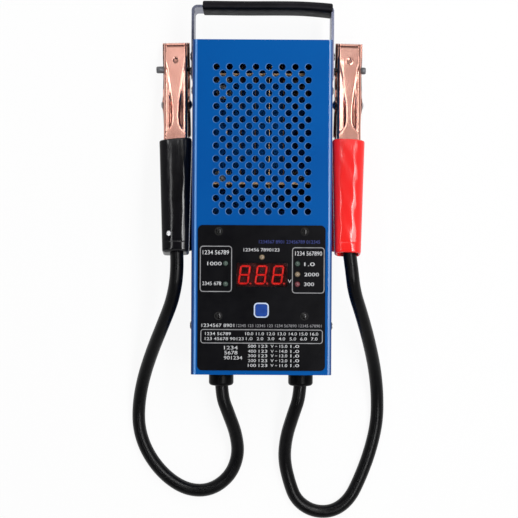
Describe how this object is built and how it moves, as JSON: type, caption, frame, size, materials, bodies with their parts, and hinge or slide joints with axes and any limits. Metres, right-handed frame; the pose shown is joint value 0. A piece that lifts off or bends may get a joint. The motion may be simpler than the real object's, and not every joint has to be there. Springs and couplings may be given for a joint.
{
  "type": "battery load tester",
  "caption": "Handheld battery load tester: perforated sheet-metal case with digital display and push button, carrying handle, and two spring clamps on heavy cables.",
  "frame": {"origin": "centre of the case's flat back face, on the surface that the tester lies on", "axes": "+Z out of the front panel, +Y from the glands towards the carrying handle, +X to the right of the panel"},
  "size_m": [0.2006, 0.405, 0.0724],
  "materials": {
    "case_paint": "fine powder coat",
    "strap_steel": "zinc plated",
    "screw_black": "black oxide",
    "bright_steel": "plated",
    "grip_rubber": "matt",
    "label_plastic": "satin film",
    "window_plastic": "clear",
    "module_plastic": "potted",
    "lit_bars": "lit",
    "green_lens": "diffused",
    "amber_lens": "diffused",
    "red_lens": "diffused",
    "button_plastic": "moulded",
    "board_laminate": "solder mask",
    "black_plastic": "moulded",
    "ribbon_alloy": "oxidised",
    "mica": "pressed sheet",
    "copper_plate": "copper plated",
    "black_sleeve": "dipped",
    "red_sleeve": "dipped",
    "cable_jacket": "satin"
  },
  "bodies": {
    "case": {"front_cover": "case_paint", "rear_chassis": "case_paint", "front_label": "label_plastic", "display_window": "window_plastic", "display_module": "module_plastic", "display_segments": "lit_bars", "circuit_board": "board_laminate", "board_components": "black_plastic", "green_leds": "green_lens", "amber_leds": "amber_lens", "red_led": "red_lens", "test_switch": "black_plastic", "panel_screws": "screw_black", "board_spacers": "bright_steel", "panel_nuts": "bright_steel", "side_screws": "bright_steel", "handle_strap": "strap_steel", "handle_grip": "grip_rubber", "handle_screws": "bright_steel", "handle_nuts": "bright_steel", "load_ribbon": "ribbon_alloy", "upper_mica_board": "mica", "lower_mica_board": "mica", "mica_brackets": "bright_steel", "mica_screws": "bright_steel", "load_relay": "black_plastic", "relay_nuts": "bright_steel", "load_bar": "copper_plate", "terminal_bolts": "bright_steel", "control_wires": "cable_jacket", "negative_lower_jaw": "copper_plate", "negative_lower_sleeve": "black_sleeve", "negative_pivot_rivet": "bright_steel", "negative_jaw_spring": "bright_steel", "negative_cable": "cable_jacket", "negative_gland": "black_plastic", "negative_gland_nut": "black_plastic", "negative_inner_lead": "cable_jacket", "negative_lug": "copper_plate", "positive_lower_jaw": "copper_plate", "positive_lower_sleeve": "red_sleeve", "positive_pivot_rivet": "bright_steel", "positive_jaw_spring": "bright_steel", "positive_cable": "cable_jacket", "positive_gland": "black_plastic", "positive_gland_nut": "black_plastic", "positive_inner_lead": "cable_jacket", "positive_lug": "copper_plate"},
    "button": {"test_button": "button_plastic", "switch_plunger": "black_plastic"},
    "negative_upper_half": {"negative_upper_jaw": "copper_plate", "negative_upper_sleeve": "black_sleeve", "negative_cross_pin": "bright_steel", "negative_jaw_contact": "copper_plate", "negative_cable_crimp": "copper_plate"},
    "positive_upper_half": {"positive_upper_jaw": "copper_plate", "positive_upper_sleeve": "red_sleeve", "positive_cross_pin": "bright_steel", "positive_jaw_contact": "copper_plate", "positive_cable_crimp": "copper_plate"}
  },
  "joints": [
    {"name": "button_press", "type": "slide", "parent": "case", "child": "button", "axis": [0, 0, -1], "range_m": [0, 0.0008], "stiffness_N_per_m": 1500, "springref_m": -0.0006},
    {"name": "negative_clamp_open", "type": "hinge", "parent": "case", "child": "negative_upper_half", "pos_m": [-0.0677, 0.083, 0.0149], "axis": [0.9997, 0.0232, 0], "range_deg": [0, 15], "stiffness_Nm_per_rad": 1.2, "springref_deg": -40.11, "deforming": ["negative_jaw_spring", "negative_cable"]},
    {"name": "positive_clamp_open", "type": "hinge", "parent": "case", "child": "positive_upper_half", "pos_m": [0.0677, 0.083, 0.0149], "axis": [0.9997, -0.0232, 0], "range_deg": [0, 15], "stiffness_Nm_per_rad": 1.2, "springref_deg": -40.11, "deforming": ["positive_jaw_spring", "positive_cable"]}
  ]
}
